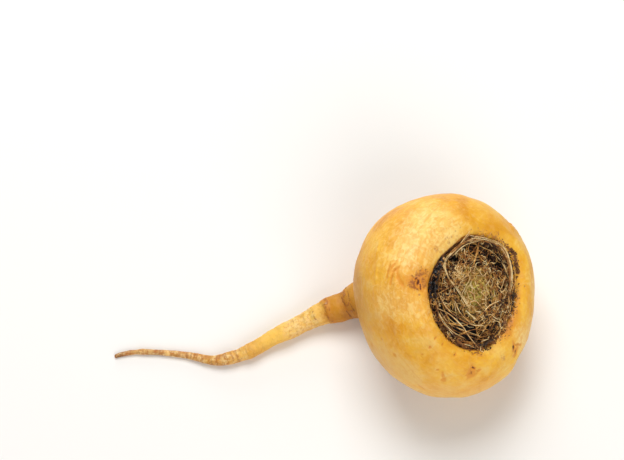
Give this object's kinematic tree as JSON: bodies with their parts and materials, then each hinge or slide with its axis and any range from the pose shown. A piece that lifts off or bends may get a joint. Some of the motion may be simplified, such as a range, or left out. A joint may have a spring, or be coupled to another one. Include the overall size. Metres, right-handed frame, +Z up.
{
  "type": "maca root",
  "caption": "Whole fresh maca root lying on its flank: squat yellow bulb, long bent tapering taproot, and a hollow crown with soil, matted fibres, a green bud and dried leaf bases.",
  "frame": {"origin": "middle of the footprint's box, on the table that the root lies on", "axes": "+X from the taproot's tip towards the bulb; +Y to the bulb's far side; +Z up from the table"},
  "size_m": [0.1054, 0.05, 0.0412],
  "materials": {
    "root_skin": "waxy yellow root skin, satin gloss, brown specks and stains by the crown and neck",
    "soil": "dark crumbly dry soil, fully matt",
    "dry_fibre": "matted dry tan plant fibres, matt",
    "green_bud": "pale yellow-green living leaf bud, satin",
    "dried_husk": "dried dark brown to black leaf bases, partly glossy"
  },
  "bodies": {
    "root": {"root_body": "root_skin", "crown_soil": "soil", "fibre_nest": "dry_fibre", "bud_leaf_1": "green_bud", "bud_leaf_2": "green_bud", "bud_leaf_3": "green_bud", "bud_leaf_4": "green_bud", "bud_leaf_5": "green_bud", "leaf_base_1": "dried_husk", "leaf_base_2": "dried_husk", "leaf_base_3": "dried_husk", "leaf_base_4": "dried_husk", "leaf_base_5": "dried_husk", "leaf_base_6": "dried_husk", "leaf_base_7": "dried_husk", "leaf_base_8": "dried_husk", "leaf_base_9": "dried_husk"}
  },
  "joints": []
}
